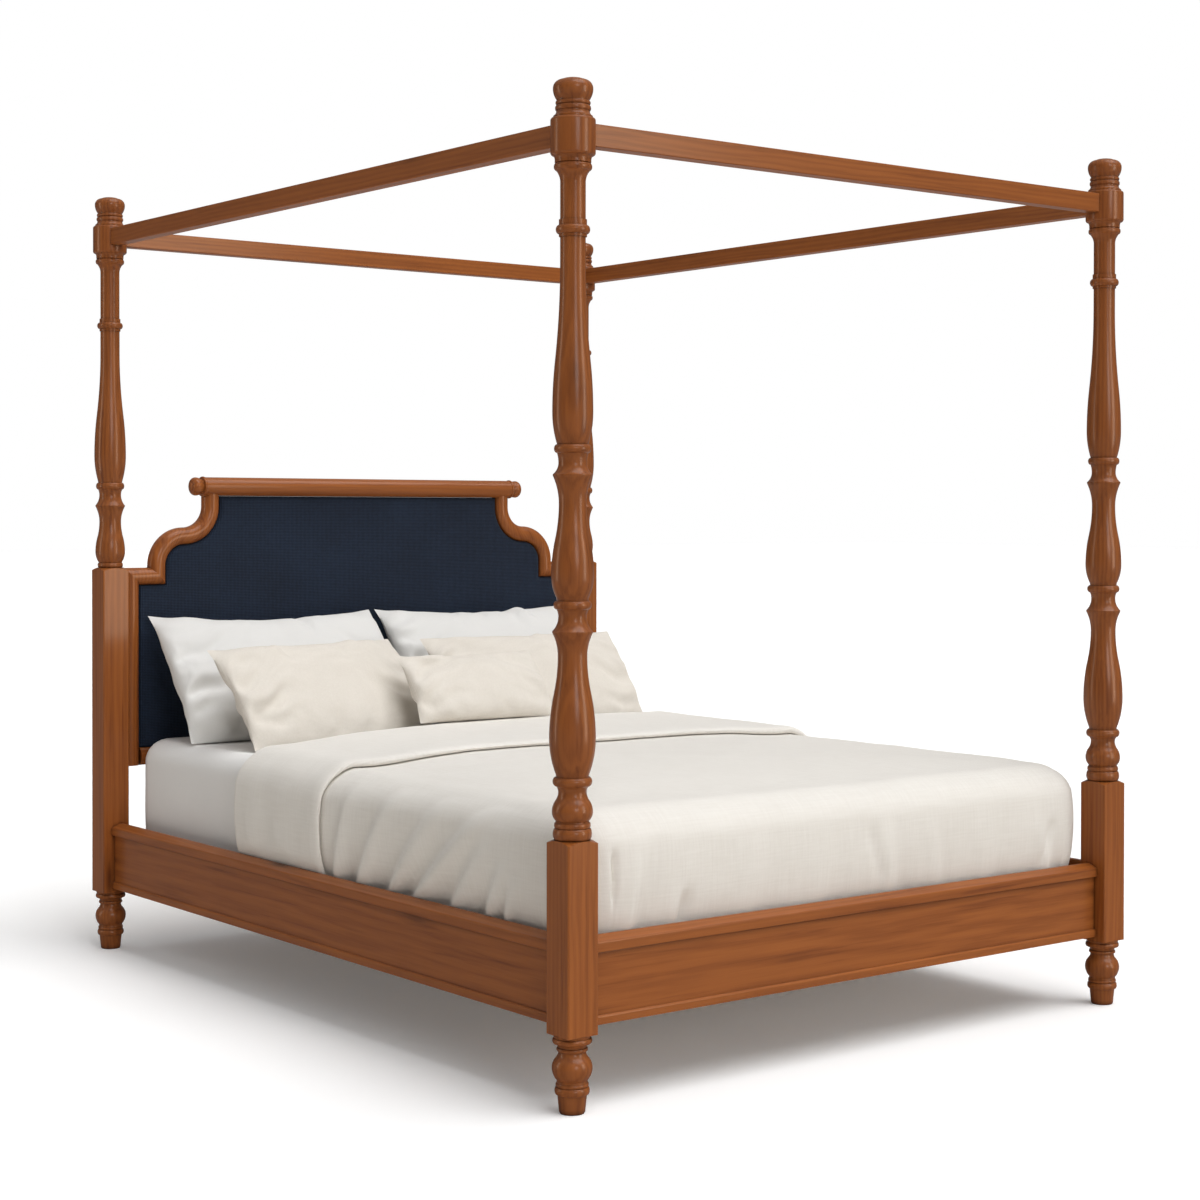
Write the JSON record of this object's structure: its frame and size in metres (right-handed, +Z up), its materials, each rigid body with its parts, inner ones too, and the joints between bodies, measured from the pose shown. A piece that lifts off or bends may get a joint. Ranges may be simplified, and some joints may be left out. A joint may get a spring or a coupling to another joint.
{
  "type": "poster bed",
  "caption": "Wooden poster bed with turned posts, an open canopy frame and an upholstered scroll-topped headboard, made up with a mattress, duvet and loose pillows.",
  "frame": {"origin": "on the floor, in the middle of the four posts", "axes": "+X across the bed to the sleeper's left when lying on the back, +Y towards the headboard, +Z up"},
  "size_m": [1.724, 2.2123, 2.071],
  "materials": {
    "cherry_wood": "satin",
    "pale_wood": "matte",
    "steel": "satin",
    "glide_plastic": "matte",
    "navy_linen": "matte",
    "white_cotton": "matte",
    "cream_linen": "matte"
  },
  "bodies": {
    "frame": {"upper_post_foot_left": "cherry_wood", "upper_post_foot_right": "cherry_wood", "upper_posts_head": "cherry_wood", "lower_post_foot_left": "cherry_wood", "lower_post_foot_right": "cherry_wood", "lower_post_head_left": "cherry_wood", "lower_post_head_right": "cherry_wood", "turned_feet": "cherry_wood", "finials": "cherry_wood", "side_rail_left": "cherry_wood", "side_rail_right": "cherry_wood", "foot_rail": "cherry_wood", "head_rail": "cherry_wood", "side_rail_left_cap": "cherry_wood", "side_rail_left_bead": "cherry_wood", "side_rail_right_cap": "cherry_wood", "side_rail_right_bead": "cherry_wood", "foot_rail_cap": "cherry_wood", "foot_rail_bead": "cherry_wood", "headboard_top_rail": "cherry_wood", "headboard_bottom_rail": "cherry_wood", "headboard_stile_left": "cherry_wood", "headboard_stile_right": "cherry_wood", "headboard_shoulder_left": "cherry_wood", "headboard_shoulder_right": "cherry_wood", "headboard_scrolls": "cherry_wood", "canopy_rail_left": "cherry_wood", "canopy_rail_right": "cherry_wood", "canopy_rail_foot": "cherry_wood", "canopy_rail_head": "cherry_wood", "foot_tenons": "pale_wood", "post_tenons": "pale_wood", "finial_tenons": "pale_wood", "slat_ledger_left": "pale_wood", "slat_ledger_right": "pale_wood", "slats": "pale_wood", "centre_beam": "pale_wood", "centre_legs": "pale_wood", "headboard_panel": "pale_wood", "rail_hook_plates": "steel", "post_hook_plates": "steel", "beam_hangers": "steel", "leg_glides": "glide_plastic", "headboard_upholstery": "navy_linen"},
    "mattress": {"mattress": "white_cotton"},
    "duvet": {"duvet": "cream_linen"},
    "white_pillow_left": {"white_pillow_left": "white_cotton"},
    "white_pillow_right": {"white_pillow_right": "white_cotton"},
    "cream_pillow_left": {"cream_pillow_left": "cream_linen"},
    "cream_pillow_right": {"cream_pillow_right": "cream_linen"},
    "lumbar_cushion": {"lumbar_cushion": "cream_linen"}
  },
  "joints": [
    {"name": "mattress_lift", "type": "slide", "parent": "frame", "child": "mattress", "axis": [0, 0, 1], "range_m": [0, 0.5]},
    {"name": "duvet_lift", "type": "slide", "parent": "mattress", "child": "duvet", "axis": [0, 0, 1], "range_m": [0, 0.4]},
    {"name": "white_pillow_left_slide", "type": "slide", "parent": "mattress", "child": "white_pillow_left", "axis": [-1, 0, 0], "range_m": [0, 0.85]},
    {"name": "white_pillow_right_slide", "type": "slide", "parent": "mattress", "child": "white_pillow_right", "axis": [1, 0, 0], "range_m": [0, 0.85]},
    {"name": "cream_pillow_left_slide", "type": "slide", "parent": "mattress", "child": "cream_pillow_left", "axis": [-0.9703, -0.2419, 0], "range_m": [0, 0.8]},
    {"name": "cream_pillow_right_slide", "type": "slide", "parent": "mattress", "child": "cream_pillow_right", "axis": [1, 0, 0], "range_m": [0, 0.8]},
    {"name": "lumbar_cushion_lift", "type": "slide", "parent": "duvet", "child": "lumbar_cushion", "axis": [0, 0, 1], "range_m": [0, 0.35]}
  ]
}
